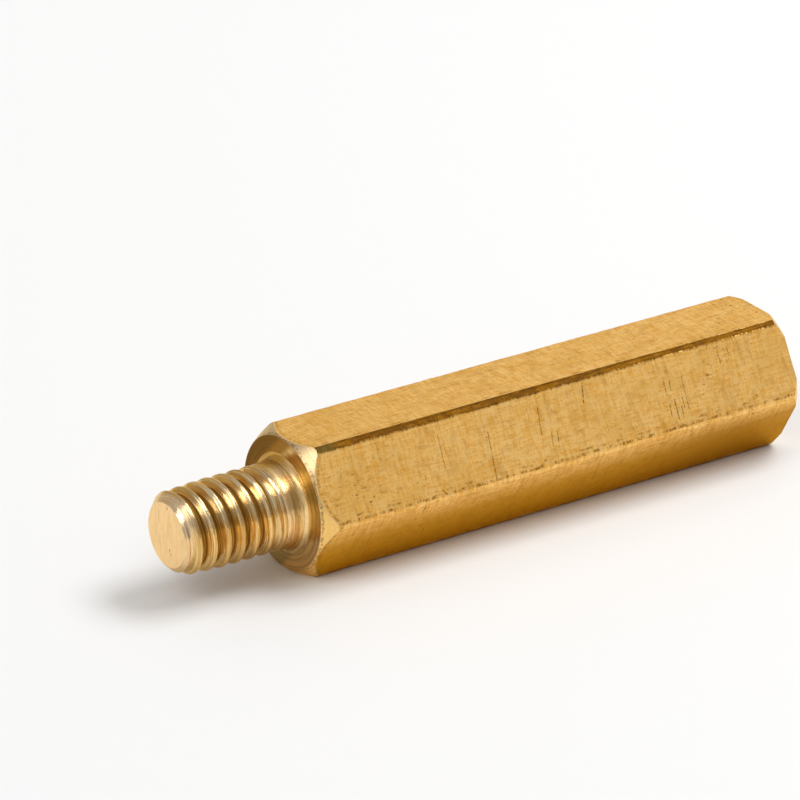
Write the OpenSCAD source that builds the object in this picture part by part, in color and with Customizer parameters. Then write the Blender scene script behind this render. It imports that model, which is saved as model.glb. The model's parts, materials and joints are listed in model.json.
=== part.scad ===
// Male-female hex standoff, turned from one length of hexagonal bar: a threaded stud at one
// end and a tapped blind hole at the other.
//
// The bar's axis is the X axis. The origin is the centre of the shoulder face, from which
// both lengths are measured: the stud points along -X and the tapped end faces +X. The bar
// lies on one of its flats, which faces -Z. All sizes are in millimetres.

/* [Hex bar] */
// Width of the bar between two opposite flats
across_flats = 6; // [5.95:0.05:8]
// Length of the bar from the shoulder face to the tapped end face
bar_length = 25; // [16:1:60]
// Radius along the six long edges of the bar
long_edge_radius = 0.3; // [0.1:0.05:0.5]

/* [Turned ends] */
// Diameter of the flat shoulder face around the stud
shoulder_diameter = 5.92; // [5:0.02:5.94]
// Slope of the shoulder's chamfer, measured from the bar's axis
shoulder_chamfer_angle = 36; // [30:1:50]
// Diameter at which the lighter chamfer of the tapped end meets the end face
end_chamfer_diameter = 6.3; // [6:0.05:6.5]
// Slope of the tapped end's chamfer, measured from the bar's axis
end_chamfer_angle = 40; // [30:1:50]

/* [Stud] */
// Diameter of the stud over its thread crests and along its plain neck
stud_diameter = 3.84; // [3.6:0.01:4]
// Length of the stud from the shoulder face to its tip
stud_length = 5.8; // [4:0.1:12]
// Diameter of the flat tip, inside its chamfer
tip_diameter = 2.96; // [2.6:0.02:3.1]
// Radius of the fillet where the neck meets the shoulder face
neck_fillet_radius = 0.3; // [0.1:0.05:0.4]

/* [Tapped hole] */
// Diameter of the drilled hole, at the crests of its internal thread
tap_drill_diameter = 3.3; // [3.2:0.05:3.5]
// Depth of the drilled hole at full diameter, from the end face
drill_depth = 12; // [6:0.5:14]
// Included angle of the cone that the drill's point leaves
drill_point_angle = 118; // [90:1:135]
// Diameter of the countersink at the hole's mouth
countersink_diameter = 4.4; // [4:0.05:4.8]

/* [Hidden] */
$fn = 96;
// Reach of a cutting solid past the face that it cuts
overcut = 1;
// Angle from a corner of the hexagon to the middle of the flat beside it
half_sector = 30;
// Distance by which the corner arcs are set out past tangent
arc_proud = 0.002;
flat_radius = across_flats / 2;
corner_radius = flat_radius / cos(half_sector);
stud_radius = stud_diameter / 2;
tip_radius = tip_diameter / 2;
drill_radius = tap_drill_diameter / 2;
drill_point_length = drill_radius / tan(drill_point_angle / 2);
countersink_radius = countersink_diameter / 2;

// Turns a shape built along Z so that it lies along the bar's axis, X
module along_bar() {
    rotate([0, 90, 0]) children();
}

// Hexagonal section with one flat facing each way along the first axis. Its corners are cut
// back square and then filled by arcs, which stand a hair proud of tangent and are trimmed by
// the flats, so that every arc crosses its flats cleanly.
module hexagon(radius) {
    arc_centre = (flat_radius - radius) / cos(half_sector) + arc_proud;
    cut_back = (flat_radius - radius) / cos(half_sector) + radius * cos(half_sector);
    intersection() {
        rotate(half_sector) circle(r = corner_radius, $fn = 6);
        union() {
            circle(r = cut_back / cos(half_sector), $fn = 6);
            for (i = [0:5]) rotate(half_sector + 60 * i) translate([arc_centre, 0]) circle(r = radius);
        }
    }
}

// Turning envelope of the bar: a cylinder that clears its corners, coned at both ends
module turned_envelope() {
    start = shoulder_diameter / 2;
    finish = end_chamfer_diameter / 2;
    start_depth = (corner_radius - start) / tan(shoulder_chamfer_angle);
    finish_depth = (corner_radius - finish) / tan(end_chamfer_angle);
    rotate_extrude()
        polygon([
            [0, 0],
            [start, 0],
            [corner_radius, start_depth],
            [corner_radius, bar_length - finish_depth],
            [finish, bar_length],
            [0, bar_length]
        ]);
}

// Hexagonal bar with its ends faced and chamfered
module bar() {
    intersection() {
        linear_extrude(height = bar_length) hexagon(long_edge_radius);
        turned_envelope();
    }
}

// Stud below the shoulder: chamfered tip, straight shank and the fillet at its root
module stud() {
    tip_chamfer = stud_radius - tip_radius;
    fillet_outer = stud_radius + neck_fillet_radius;
    rotate_extrude() {
        polygon([
            [0, -stud_length],
            [tip_radius, -stud_length],
            [stud_radius, -stud_length + tip_chamfer],
            [stud_radius, overcut],
            [0, overcut]
        ]);
        difference() {
            translate([stud_radius - overcut, -neck_fillet_radius])
                square([neck_fillet_radius + overcut, neck_fillet_radius]);
            translate([fillet_outer, -neck_fillet_radius]) circle(r = neck_fillet_radius);
        }
    }
}

// Drilled and countersunk hole in the far end
module hole() {
    mouth = countersink_radius - drill_radius;
    rotate_extrude()
        polygon([
            [0, bar_length - drill_depth - drill_point_length],
            [drill_radius, bar_length - drill_depth],
            [drill_radius, bar_length - mouth],
            [countersink_radius, bar_length],
            [countersink_radius, bar_length + overcut],
            [0, bar_length + overcut]
        ]);
}

module standoff() {
    color("goldenrod")
        along_bar()
            difference() {
                union() {
                    bar();
                    stud();
                }
                hole();
            }
}

standoff();
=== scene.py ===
"""Brass male-female hex standoff, lying on one flat on a pale floor in soft studio light.

The turned hexagonal bar, its threaded stud and its tapped hole are modelled in millimetres in
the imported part's own frame: the bar's axis is X and the origin is the centre of the shoulder
face. The finished piece is brought to metres and stands for the part's one node.
"""

import json
import logging
import math
from dataclasses import dataclass
from enum import Enum
from typing import Callable, Sequence

import bmesh
import bpy
from mathutils import Matrix, Vector, noise


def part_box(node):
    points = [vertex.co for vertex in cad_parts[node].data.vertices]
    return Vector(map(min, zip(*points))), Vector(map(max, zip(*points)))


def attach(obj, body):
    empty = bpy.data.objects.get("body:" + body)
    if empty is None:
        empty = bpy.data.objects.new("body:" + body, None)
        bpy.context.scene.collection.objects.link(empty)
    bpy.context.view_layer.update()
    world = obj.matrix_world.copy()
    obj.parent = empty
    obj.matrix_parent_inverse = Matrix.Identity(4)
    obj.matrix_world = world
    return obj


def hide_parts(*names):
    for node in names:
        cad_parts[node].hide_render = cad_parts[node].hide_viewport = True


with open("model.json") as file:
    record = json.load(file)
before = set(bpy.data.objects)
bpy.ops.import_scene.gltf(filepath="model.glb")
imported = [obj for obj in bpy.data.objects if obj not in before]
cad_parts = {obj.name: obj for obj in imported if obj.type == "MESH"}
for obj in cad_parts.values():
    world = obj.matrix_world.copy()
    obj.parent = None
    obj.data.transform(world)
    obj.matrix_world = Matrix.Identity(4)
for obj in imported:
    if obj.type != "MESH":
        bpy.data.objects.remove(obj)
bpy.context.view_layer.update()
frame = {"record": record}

LOG = logging.getLogger("standoff")
NODE = "standoff"
PIECE = "standoff_brass"
BODY = "root"
METRES_PER_MM = 0.001
FULL_TURN = 2 * math.pi
# Half the turn from one flat of a hexagon to the next, in degrees
HEX_HALF = 30.0
# Turn that lays a new cylinder along X
ALONG_X = (0, math.pi / 2, 0)
# Least share of an edge's length that lies along X, where it counts as a long one
ALONG_SHARE = 0.9
# Facets round every turned surface, so that pieces turned apart can be welded
TURN_STEPS = 144
# Distance under which two vertices are the same one, in millimetres
WELD = 0.0005
# How far the drill goes past the inner end of the hole's mount, in millimetres
BORE_PAST_MOUNT = 0.275
# Distances in the noise from one long edge to the next, so that no two look alike
EDGE_GAP = 7.0
NICK_GAP = 5.0
# Distance from one node of a tree to the next in the editor
NODE_STEP = 220

Piece = bpy.types.Object
Socket = bpy.types.NodeSocket
Point = tuple[float, float]
# The place or level where something starts to fade in, and the one where it is full
Span = tuple[float, float]
Numbers = tuple[float, ...]
Colour = tuple[float, float, float]
# Mask and strength of a coat over a tone, and its colour
Coat = tuple[object, float, object]
# Tint and strength of the brass's glancing reflections
GLANCING: Colour = (1.0, 0.92, 0.70)
GLANCING_LEVEL = 0.12


class Finish(Enum):
    """The three surfaces that the making of the standoff leaves, by material slot."""

    DRAWN = 0
    FACED = 1
    CUT = 2


class Keep(Enum):
    """Which part of a piece a cut with a closed tool keeps."""

    INSIDE = "INTERSECT"
    OUTSIDE = "DIFFERENCE"


class Part(Enum):
    """The parts of a mesh that are picked by a test."""

    EDGE = "EDGE"
    FACE = "FACE"


def mount_named(name: str) -> dict:
    """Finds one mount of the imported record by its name."""
    return next(m for m in frame["record"]["mounts"] if m["name"] == name)


def tangent(degrees: float) -> float:
    """Works out the tangent of an angle in degrees."""
    return math.tan(math.radians(degrees))


def held(share: float) -> float:
    """Holds a share between 0 and 1."""
    return min(1.0, max(0.0, share))


def arc(centre: Point, radius: float, start: float, end: float, steps: int) -> list[Point]:
    """Works out the points of an arc in the (x, r) plane.

    Args:
        centre: The arc's centre, as axial place and radius.
        radius: The arc's radius.
        start: Angle of its first point from the X axis, in degrees.
        end: Angle of its last point, in degrees.
        steps: Number of equal chords.

    Returns:
        The steps + 1 points from start to end.
    """
    angles = [math.radians(start + (end - start) * i / steps) for i in range(steps + 1)]
    return [(centre[0] + radius * math.cos(a), centre[1] + radius * math.sin(a)) for a in angles]


class Bench:
    """Moves that every part of the standoff is modelled with."""

    @staticmethod
    def take(piece: Piece) -> None:
        """Makes one piece the only selected one, and the active one.

        Args:
            piece: The piece.
        """
        if bpy.context.object and bpy.context.object.mode != "OBJECT":
            bpy.ops.object.mode_set(mode="OBJECT")
        bpy.ops.object.select_all(action="DESELECT")
        piece.select_set(True)
        bpy.context.view_layer.objects.active = piece

    @staticmethod
    def open(piece: Piece, whole: bool = False) -> None:
        """Opens one piece in edit mode.

        Args:
            piece: The piece.
            whole: True to select all of it, False to select nothing.
        """
        Bench.take(piece)
        bpy.ops.object.mode_set(mode="EDIT")
        bpy.ops.mesh.select_mode(type="VERT")
        bpy.ops.mesh.select_all(action="SELECT" if whole else "DESELECT")

    @staticmethod
    def close() -> None:
        """Leaves edit mode."""
        bpy.ops.object.mode_set(mode="OBJECT")

    @staticmethod
    def pick(part: Part, wanted: Callable[..., bool]) -> int:
        """Selects what passes a test in the open piece, and nothing else.

        Args:
            part: Whether edges or faces are tested.
            wanted: The test, given one edge or face.

        Returns:
            How many were selected.
        """
        bpy.ops.mesh.select_mode(type=part.value)
        bpy.ops.mesh.select_all(action="DESELECT")
        shape = bmesh.from_edit_mesh(bpy.context.object.data)
        parts = shape.edges if part is Part.EDGE else shape.faces
        chosen = [one for one in parts if wanted(one)]
        for one in chosen:
            one.select_set(True)
        bmesh.update_edit_mesh(bpy.context.object.data)
        return len(chosen)

    @staticmethod
    def bevel(width: float, segments: int, clamp_overlap: bool = False) -> None:
        """Bevels the picked edges of the open piece.

        Args:
            width: How far the bevel reaches from each edge.
            segments: Number of faces across it.
            clamp_overlap: True to keep bevels from running into each other.
        """
        sizes = {"offset": width, "offset_type": "OFFSET", "segments": segments}
        bpy.ops.mesh.bevel(**sizes, profile=0.5, clamp_overlap=clamp_overlap)

    @staticmethod
    def drop_faces(piece: Piece, wanted: Callable[..., bool]) -> None:
        """Deletes the faces of a piece that pass a test.

        Args:
            piece: The piece.
            wanted: The test, given one face.
        """
        Bench.open(piece)
        Bench.pick(Part.FACE, wanted)
        bpy.ops.mesh.delete(type="FACE")
        Bench.close()

    @staticmethod
    def modify(piece: Piece, kind: str, **settings: object) -> None:
        """Finishes a piece with a modifier, which is applied.

        Args:
            piece: The piece.
            kind: The modifier's type.
            **settings: The modifier's properties.
        """
        Bench.take(piece)
        bpy.ops.object.modifier_add(type=kind)
        modifier = piece.modifiers[-1]
        for name, value in settings.items():
            setattr(modifier, name, value)
        bpy.ops.object.modifier_apply(modifier=modifier.name)

    @staticmethod
    def trace(name: str, points: Sequence[Point]) -> Piece:
        """Draws a chain of edges in the XZ plane by extruding one vertex from point to point.

        Args:
            name: Name of the new piece.
            points: Axial place and radius of each point.

        Returns:
            The piece that holds the chain.
        """
        bpy.ops.object.select_all(action="DESELECT")
        bpy.ops.mesh.primitive_plane_add(size=1.0, location=(0, 0, 0))
        piece = bpy.context.object
        piece.name = name
        Bench.open(piece, whole=True)
        bpy.ops.mesh.merge(type="CENTER")
        bpy.ops.mesh.select_all(action="SELECT")
        bpy.ops.transform.translate(value=(points[0][0], 0, points[0][1]))
        for (x0, r0), (x1, r1) in zip(points, points[1:]):
            bpy.ops.mesh.extrude_region_move(TRANSFORM_OT_translate={"value": (x1 - x0, 0, r1 - r0)})
        Bench.close()
        return piece

    @staticmethod
    def turn(name: str, profile: Sequence[Point]) -> Piece:
        """Turns a closed solid from a profile that starts and ends on the X axis.

        Args:
            name: Name of the new piece.
            profile: Axial place and radius of each point, from the -X end to the +X end.

        Returns:
            The turned piece, with its poles closed and its faces outward.
        """
        piece = Bench.trace(name, profile)
        Bench.open(piece, whole=True)
        bpy.ops.mesh.spin(steps=TURN_STEPS, angle=FULL_TURN, center=(0, 0, 0), axis=(1, 0, 0))
        Bench.close()
        Bench.weld(piece)
        return piece

    @staticmethod
    def weld(piece: Piece) -> None:
        """Merges a piece's doubles and turns its faces outward.

        Args:
            piece: The piece to clean.
        """
        Bench.open(piece, whole=True)
        bpy.ops.mesh.remove_doubles(threshold=WELD)
        bpy.ops.mesh.select_all(action="SELECT")
        bpy.ops.mesh.normals_make_consistent(inside=False)
        Bench.close()

    @staticmethod
    def cut(piece: Piece, tool: Piece, keep: Keep) -> None:
        """Cuts a piece with a closed tool, which is used up.

        Args:
            piece: The piece that is cut.
            tool: The tool.
            keep: Which part of the piece stays.
        """
        Bench.modify(piece, "BOOLEAN", operation=keep.value, solver="EXACT", object=tool)
        bpy.data.objects.remove(tool)

    @staticmethod
    def open_edges(piece: Piece) -> int:
        """Counts the edges of a piece that don't have exactly two faces.

        Args:
            piece: The piece.

        Returns:
            Their number, which is 0 for a closed piece.
        """
        shape = bmesh.new()
        shape.from_mesh(piece.data)
        count = sum(len(edge.link_faces) != 2 for edge in shape.edges)
        shape.free()
        return count


@dataclass
class HexStock:
    """Hexagonal bar stock with rounded, slightly dented long edges."""

    across_flats: float
    start: float
    end: float
    edge_radius: float = 0.3
    edge_segments: int = 8
    stations: int = 260
    dent_depth: float = 0.03
    dent_size: float = 0.35

    @property
    def corner_radius(self) -> float:
        """Distance of a sharp corner from the axis."""
        return self.across_flats / 2 / math.cos(math.radians(HEX_HALF))

    @property
    def edge_width(self) -> float:
        """Distance from a sharp corner to where its rounding meets the flat."""
        return self.edge_radius * tangent(HEX_HALF)

    def build(self) -> Piece:
        """Models the stock.

        Returns:
            A closed prism along X with a flat facing down.
        """
        bpy.ops.object.select_all(action="DESELECT")
        place = {"location": ((self.start + self.end) / 2, 0, 0), "rotation": ALONG_X}
        size = {"radius": self.corner_radius, "depth": self.end - self.start}
        bpy.ops.mesh.primitive_cylinder_add(vertices=6, **size, **place)
        stock = bpy.context.object
        stock.name = "hex_stock"
        bpy.ops.object.transform_apply(location=True, rotation=True, scale=True)
        Bench.open(stock)
        Bench.pick(Part.EDGE, self._runs_along)
        Bench.bevel(self.edge_width, self.edge_segments)
        Bench.pick(Part.EDGE, self._runs_along)
        bpy.ops.mesh.subdivide(number_cuts=self.stations)
        Bench.close()
        self._dent(stock)
        return stock

    @staticmethod
    def _runs_along(edge: bmesh.types.BMEdge) -> bool:
        """True for an edge that lies along the bar."""
        run = edge.verts[1].co - edge.verts[0].co
        return abs(run.x) > ALONG_SHARE * run.length

    def _dent(self, stock: Piece) -> None:
        """Presses small dents into the long edges, and nowhere else.

        Args:
            stock: The prism.
        """
        inside = math.hypot(self.across_flats / 2, self.corner_radius / 2 - self.edge_width) + WELD
        edges = stock.vertex_groups.new(name="long_edges")
        rounded = [v.index for v in stock.data.vertices if math.hypot(v.co.y, v.co.z) > inside]
        edges.add(rounded, 1.0, "REPLACE")
        dents = bpy.data.textures.new("dents", "CLOUDS")
        dents.noise_scale = self.dent_size
        dents.noise_depth = 2
        where = {"texture": dents, "texture_coords": "LOCAL", "vertex_group": edges.name}
        Bench.modify(stock, "DISPLACE", **where, strength=self.dent_depth, mid_level=1.0)


@dataclass
class Thread:
    """Section of a metric thread, and the moves that wind it round the X axis.

    The section runs along X for one pitch, from the middle of one groove to the middle of the
    next, over the crest between them.
    """

    pitch: float
    crest_radius: float
    root_radius: float
    crest_width: float
    crest_round: float
    flank_ridge: float = 0.0
    flank_angle: float = 30.0
    root_steps: int = 4
    flank_steps: int = 4
    crest_steps: int = 3

    def section(self) -> list[Point]:
        """Works out one pitch of the thread's outline.

        Returns:
            Axial place from the crest's middle, and radius, of each point.
        """
        slope = math.radians(self.flank_angle)
        tilt = 90 - self.flank_angle
        flat = self.crest_width / 2
        spare = self.pitch / 2 - flat - (self.crest_radius - self.root_radius) * math.tan(slope)
        root_round = spare / (1 / math.cos(slope) - math.tan(slope))
        root_centre = (-self.pitch / 2, self.root_radius + root_round)
        root = arc(root_centre, root_round, 270, 270 + tilt, self.root_steps)
        crest_cut = self.crest_round * tangent(tilt / 2)
        crest_centre = (crest_cut - flat, self.crest_radius - self.crest_round)
        crest = arc(crest_centre, self.crest_round, 90 + tilt, 90, self.crest_steps)
        (x0, r0), (x1, r1) = root[-1], crest[0]
        flank = []
        for i in range(1, self.flank_steps):
            share = i / self.flank_steps
            ridge = self.flank_ridge * (-1) ** i
            flank.append((x0 + (x1 - x0) * share, r0 + (r1 - r0) * share + ridge))
        rise = root + flank + crest
        return rise + [(-x, r) for x, r in reversed(rise)]

    def wind(self, name: str, start: float, end: float, crest_place: float) -> Piece:
        """Winds the section into a right-hand thread.

        Args:
            name: Name of the new piece.
            start: Least axial place that the thread has to reach.
            end: Greatest axial place that it has to reach.
            crest_place: Axial place of any crest, right above the axis.

        Returns:
            An open threaded tube that runs at least a pitch past both ends.
        """
        before = math.ceil((crest_place - start) / self.pitch) + 2
        turns = math.ceil((end - start) / self.pitch) + 4
        shift = crest_place - before * self.pitch
        tube = Bench.trace(name, [(x + shift, r) for x, r in self.section()])
        helix = {"axis": "X", "angle": FULL_TURN, "screw_offset": self.pitch, "iterations": turns}
        Bench.modify(tube, "SCREW", **helix, steps=TURN_STEPS, render_steps=TURN_STEPS)
        Bench.weld(tube)
        return tube

    @staticmethod
    def part_off(tube: Piece, place: float, keep_above: bool) -> None:
        """Cuts a tube square across and closes it there.

        Args:
            tube: The threaded tube.
            place: Axial place of the cut.
            keep_above: True to keep the +X side, False for the -X side.
        """
        Bench.open(tube, whole=True)
        away = {"clear_inner": keep_above, "clear_outer": not keep_above}
        plane = {"plane_co": (place, 0, 0), "plane_no": (1, 0, 0)}
        bpy.ops.mesh.bisect(**plane, **away, use_fill=True, threshold=WELD / 10)
        Bench.close()

    @staticmethod
    def reshape(tube: Piece, move: Callable[[float, float], Point]) -> None:
        """Moves every vertex of a tube in its own plane through the axis.

        Args:
            tube: The threaded tube.
            move: Gives a vertex's new axial place and radius from its old ones.
        """
        for vertex in tube.data.vertices:
            x, y, z = vertex.co
            radius = math.hypot(y, z)
            new_x, new_radius = move(x, radius)
            share = new_radius / radius
            vertex.co = (new_x, y * share, z * share)


@dataclass
class Stud:
    """Threaded stud, from its chamfered tip to the neck where it meets the shoulder's fillet."""

    crest_radius: float
    length: float
    neck_place: float
    pitch: float = 0.7
    root_radius: float = 1.54
    crest_width: float = 0.14
    crest_round: float = 0.11
    flank_ridge: float = 0.004
    crest_place: float = -4.70
    tip_radius: float = 1.44
    tip_round: float = 0.05
    tip_slope: float = 45.0
    # How far the first crests stay below the others, and where they reach full height
    lead_drop: float = 0.07
    lead_start: float = -5.1
    lead_end: float = -3.8
    run_out_start: float = -1.6
    run_out_end: float = -0.85
    # Depth and size of the unevenness that the cutting leaves, and how far it shifts a crest
    wear_depth: float = 0.014
    wear_size: float = 0.22
    crest_shift: float = 0.02
    # Depth and width of the turning marks on the neck
    neck_ridge: float = 0.020
    neck_ridge_width: float = 0.09

    @property
    def thread_depth(self) -> float:
        """Height of the crests over the roots."""
        return self.crest_radius - self.root_radius

    def build(self) -> Piece:
        """Models the stud.

        Returns:
            The stud, open only at its neck, ready to be welded to the bar.
        """
        radii = {"crest_radius": self.crest_radius, "root_radius": self.root_radius}
        crest = {"crest_width": self.crest_width, "crest_round": self.crest_round, "crest_steps": 5}
        thread = Thread(self.pitch, **radii, **crest, flank_ridge=self.flank_ridge, flank_steps=5)
        stud = thread.wind("stud", -self.length - self.pitch, self.neck_place, self.crest_place)
        Thread.reshape(stud, self._run_out)
        Bench.weld(stud)
        self._wear(stud)
        Thread.part_off(stud, -self.length - self.pitch / 2, keep_above=True)
        Bench.open(stud)
        Bench.pick(Part.EDGE, lambda edge: edge.is_boundary)
        bpy.ops.mesh.edge_face_add()
        Bench.close()
        Bench.weld(stud)
        Bench.cut(stud, self._tip_form(), Keep.INSIDE)
        Bench.drop_faces(stud, self._is_neck_cap)
        return stud

    def _run_out_share(self, place: float) -> float:
        """Tells how far the grooves have run out at an axial place, from 0 to 1 on the neck."""
        return held((place - self.run_out_start) / (self.run_out_end - self.run_out_start))

    def _run_out(self, place: float, radius: float) -> Point:
        """Lets the grooves end in the neck, and gathers what is past the neck at its end.

        Args:
            place: Axial place of a point on the thread.
            radius: Its radius.

        Returns:
            Its new axial place and radius.
        """
        if place >= self.neck_place:
            return self.neck_place, self.crest_radius
        depth = self.thread_depth
        lead = held((self.lead_end - place) / (self.lead_end - self.lead_start))
        lowered = radius - self.lead_drop * lead * (radius - self.root_radius) / depth
        return place, max(lowered, self.root_radius + depth * self._run_out_share(place))

    def _wear(self, stud: Piece) -> None:
        """Gives the thread and the neck the slight unevenness of cut metal.

        Args:
            stud: The wound stud, whose end at the neck stays true.
        """
        for vertex in stud.data.vertices:
            x, y, z = vertex.co
            fade = held((self.neck_place - x) / self.wear_size)
            if not fade:
                continue
            radius = math.hypot(y, z)
            turn = math.atan2(z, y)
            height = (radius - self.root_radius) / self.thread_depth
            uneven = 0.5 + 0.5 * noise.noise(vertex.co / self.wear_size)
            around = Vector((x / self.neck_ridge_width, math.cos(turn), math.sin(turn)))
            ridge = self.neck_ridge * (0.5 + 0.5 * noise.noise(around)) * self._run_out_share(x)
            drop = fade * (self.wear_depth * uneven * height + ridge)
            shift = fade * height * self.crest_shift * noise.noise(vertex.co / (2 * self.wear_size))
            share = (radius - drop) / radius
            vertex.co = (x + shift, y * share, z * share)

    def _tip_form(self) -> Piece:
        """Turns the solid that gives the stud its flat tip and its chamfer.

        Returns:
            The closed solid, which is clear of the crests and of the neck.
        """
        clear = self.crest_radius + self.pitch
        end = self.neck_place + self.pitch
        corner = tangent(self.tip_slope / 2) * self.tip_round
        rounding_centre = (-self.length + self.tip_round, self.tip_radius - corner)
        run = (clear - self.tip_radius) / tangent(self.tip_slope)
        profile = [(-self.length, 0.0)]
        profile += arc(rounding_centre, self.tip_round, 180, 180 - self.tip_slope, 3)
        profile += [(run - self.length, clear), (end, clear), (end, 0.0)]
        return Bench.turn("tip_form", profile)

    def _is_neck_cap(self, face: bmesh.types.BMFace) -> bool:
        """True for the face that closes the stud at its neck."""
        return min(v.co.x for v in face.verts) > self.neck_place - WELD


@dataclass
class TappedHole:
    """Female thread, cut by a tap from the bar's far end."""

    drill_radius: float
    mouth_place: float
    pitch: float = 0.7
    major_radius: float = 2.02
    thread_depth: float = 10.2
    lead: float = 1.8
    crest_width: float = 0.1
    crest_round: float = 0.02
    # How far the tap's core, and the front of its lead, stay inside the drilled hole
    core_gap: float = 0.06
    lead_gap: float = 0.04

    @property
    def inner_place(self) -> float:
        """Axial place where the thread ends inside."""
        return self.mouth_place - self.thread_depth

    def tap(self) -> Piece:
        """Models the tap's threaded part, which cuts the hole's grooves.

        Returns:
            A closed solid that reaches past the mouth, with a tapered lead at its inner end.
        """
        radii = {"crest_radius": self.major_radius, "root_radius": self.drill_radius - self.core_gap}
        crest = {"crest_width": self.crest_width, "crest_round": self.crest_round}
        thread = Thread(self.pitch, **radii, **crest, root_steps=2, flank_steps=2, crest_steps=2)
        outer = self.mouth_place + self.pitch
        tool = thread.wind("tap", self.inner_place, outer, self.mouth_place)
        Thread.reshape(tool, self._taper)
        Thread.part_off(tool, self.inner_place, keep_above=True)
        Thread.part_off(tool, outer, keep_above=False)
        Bench.weld(tool)
        return tool

    def _taper(self, place: float, radius: float) -> Point:
        """Tapers the tap's inner end down to the drilled hole.

        Args:
            place: Axial place of a point on the tap.
            radius: Its radius.

        Returns:
            Its axial place and its new radius.
        """
        share = held((place - self.inner_place) / self.lead)
        start = self.drill_radius - self.lead_gap
        return place, min(radius, start + (self.major_radius - start) * share)


@dataclass
class TurnedBar:
    """Hexagonal bar with its shoulder, chamfers, end face and countersunk drilled hole."""

    across_flats: float
    length: float
    stud_radius: float
    drill_radius: float
    drill_depth: float
    fillet_radius: float = 0.3
    shoulder_radius: float = 2.96
    shoulder_slope: float = 36.0
    rim_round: float = 0.05
    end_radius: float = 3.15
    end_slope: float = 40.0
    countersink_radius: float = 2.2
    drill_point_angle: float = 118.0
    # Width of the broken edges, and the least angle in degrees between the faces of such an edge
    edge_break: float = 0.035
    sharp_angle: float = 25.0
    feed: float = 0.09
    ridge: float = 0.003
    # Radius that is clear of the corners, for each millimetre across the flats
    clear_share: float = 0.6

    @property
    def neck_place(self) -> float:
        """Axial place where the stud's neck meets the fillet."""
        return -self.fillet_radius

    def build(self) -> Piece:
        """Models the bar.

        Returns:
            The bar, open only where the stud is welded on.
        """
        margin = 2 * self.fillet_radius
        bar = HexStock(self.across_flats, -margin, self.length + margin).build()
        Bench.cut(bar, Bench.turn("turned_form", self._profile()), Keep.INSIDE)
        Bench.weld(bar)
        Bench.open(bar)
        broken = Bench.pick(Part.EDGE, self._is_corner)
        Bench.bevel(self.edge_break, 2, clamp_overlap=True)
        Bench.close()
        LOG.info("bar: %d sharp edges broken", broken)
        hole = TappedHole(drill_radius=self.drill_radius, mouth_place=self.length)
        Bench.cut(bar, hole.tap(), Keep.OUTSIDE)
        Bench.drop_faces(bar, self._is_neck_cap)
        return bar

    def _profile(self) -> list[Point]:
        """Works out the outline that the lathe and the drill leave, from the neck to the hole's point.

        Returns:
            Axial place and radius of each point.
        """
        clear = self.across_flats * self.clear_share
        rim_turn = 90 - self.shoulder_slope
        rim_cut = self.rim_round * tangent(rim_turn / 2)
        rim_centre = (self.rim_round, self.shoulder_radius - rim_cut)
        fillet_end = self.stud_radius + self.fillet_radius
        profile = [(self.neck_place, 0.0)]
        profile += arc((self.neck_place, fillet_end), self.fillet_radius, 270, 360, 10)
        profile += self._ridges(fillet_end, self.shoulder_radius - rim_cut)
        profile += arc(rim_centre, self.rim_round, 180, 180 - rim_turn, 4)
        end_run = (clear - self.end_radius) / tangent(self.end_slope)
        sink = self.countersink_radius - self.drill_radius
        point = self.drill_radius / tangent(self.drill_point_angle / 2)
        return profile + [
            ((clear - self.shoulder_radius) / tangent(self.shoulder_slope), clear),
            (self.length - end_run, clear),
            (self.length, self.end_radius),
            (self.length, self.countersink_radius),
            (self.length - sink, self.drill_radius),
            (self.length - self.drill_depth, self.drill_radius),
            (self.length - self.drill_depth - point, 0.0),
        ]

    def _ridges(self, inner: float, outer: float) -> list[Point]:
        """Works out the fine ridges that the tool's feed leaves on the shoulder.

        Args:
            inner: Radius where they start.
            outer: Radius where they end.

        Returns:
            Points just off the shoulder's plane, without its two ends.
        """
        count = max(2, 2 * round((outer - inner) / self.feed))
        span = (outer - inner) / count
        return [(self.ridge * (i % 2), inner + span * i) for i in range(1, count)]

    def _is_neck_cap(self, face: bmesh.types.BMFace) -> bool:
        """True for the face that closes the bar at the stud's neck."""
        return max(v.co.x for v in face.verts) < self.neck_place + WELD

    def _is_corner(self, edge: bmesh.types.BMEdge) -> bool:
        """Tells the sharp edges that turning left on the outside of the hexagon.

        Args:
            edge: One edge of the bar.

        Returns:
            True for such an edge.
        """
        if len(edge.link_faces) != 2:
            return False
        middle = (edge.verts[0].co + edge.verts[1].co) / 2
        outside = math.hypot(middle.y, middle.z) > self.shoulder_radius + WELD
        return outside and edge.calc_face_angle() > math.radians(self.sharp_angle)


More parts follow.
